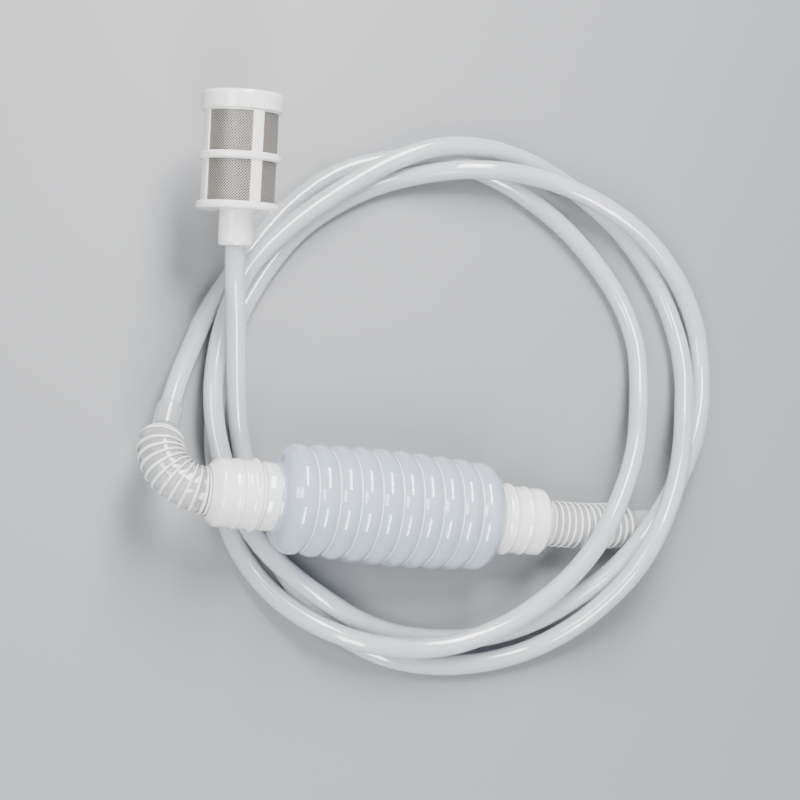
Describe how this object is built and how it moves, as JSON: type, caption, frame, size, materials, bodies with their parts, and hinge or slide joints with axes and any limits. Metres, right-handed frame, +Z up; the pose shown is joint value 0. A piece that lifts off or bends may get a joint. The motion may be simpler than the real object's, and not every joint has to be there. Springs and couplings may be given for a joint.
{
  "type": "squeeze bulb siphon pump",
  "caption": "Hand siphon pump: ribbed squeeze bulb with check valves, corrugated hose ends, coiled clear hose and a mesh intake strainer.",
  "frame": {"origin": "bottom centre of the bounding box of the pump: the bulb, necks, valves, pipes and outlet cuff, without the hose and strainer", "axes": "+X along the pump towards its outlet, +Y towards the strainer, +Z up from the surface it lies on"},
  "size_m": [0.2447, 0.226, 0.0692],
  "materials": {
    "bulb_vinyl": "gloss, translucent",
    "neck_plastic": "satin",
    "pipe_plastic": "gloss, clear",
    "hose_vinyl": "gloss, clear",
    "valve_plastic": "satin",
    "disc_rubber": "matte",
    "filter_plastic": "satin",
    "mesh_steel": "woven wire"
  },
  "bodies": {
    "pump": {"squeeze_bulb": "bulb_vinyl", "inlet_neck": "neck_plastic", "outlet_neck": "neck_plastic", "inlet_valve_seat": "valve_plastic", "inlet_valve_cage": "valve_plastic", "outlet_valve_seat": "valve_plastic", "outlet_valve_cage": "valve_plastic", "inlet_pipe": "pipe_plastic", "outlet_pipe": "pipe_plastic", "hose": "hose_vinyl", "filter_frame": "filter_plastic", "filter_cap": "filter_plastic", "filter_mesh": "mesh_steel"},
    "inlet_disc": {"inlet_valve_disc": "disc_rubber"},
    "outlet_disc": {"outlet_valve_disc": "disc_rubber"},
    "outlet_end": {"outlet_cuff": "pipe_plastic"}
  },
  "joints": [
    {"name": "inlet_valve_lift", "type": "slide", "parent": "pump", "child": "inlet_disc", "axis": [0.9925, 0, -0.1219], "range_m": [0, 0.0015]},
    {"name": "outlet_valve_lift", "type": "slide", "parent": "pump", "child": "outlet_disc", "axis": [0.9925, 0, -0.1219], "range_m": [0, 0.0015]},
    {"name": "outlet_pipe_bend", "type": "hinge", "parent": "pump", "child": "outlet_end", "pos_m": [0.0776, -0.0063, 0.0149], "axis": [0, 0, 1], "range_deg": [-6, 15], "deforming": ["outlet_pipe"]}
  ]
}
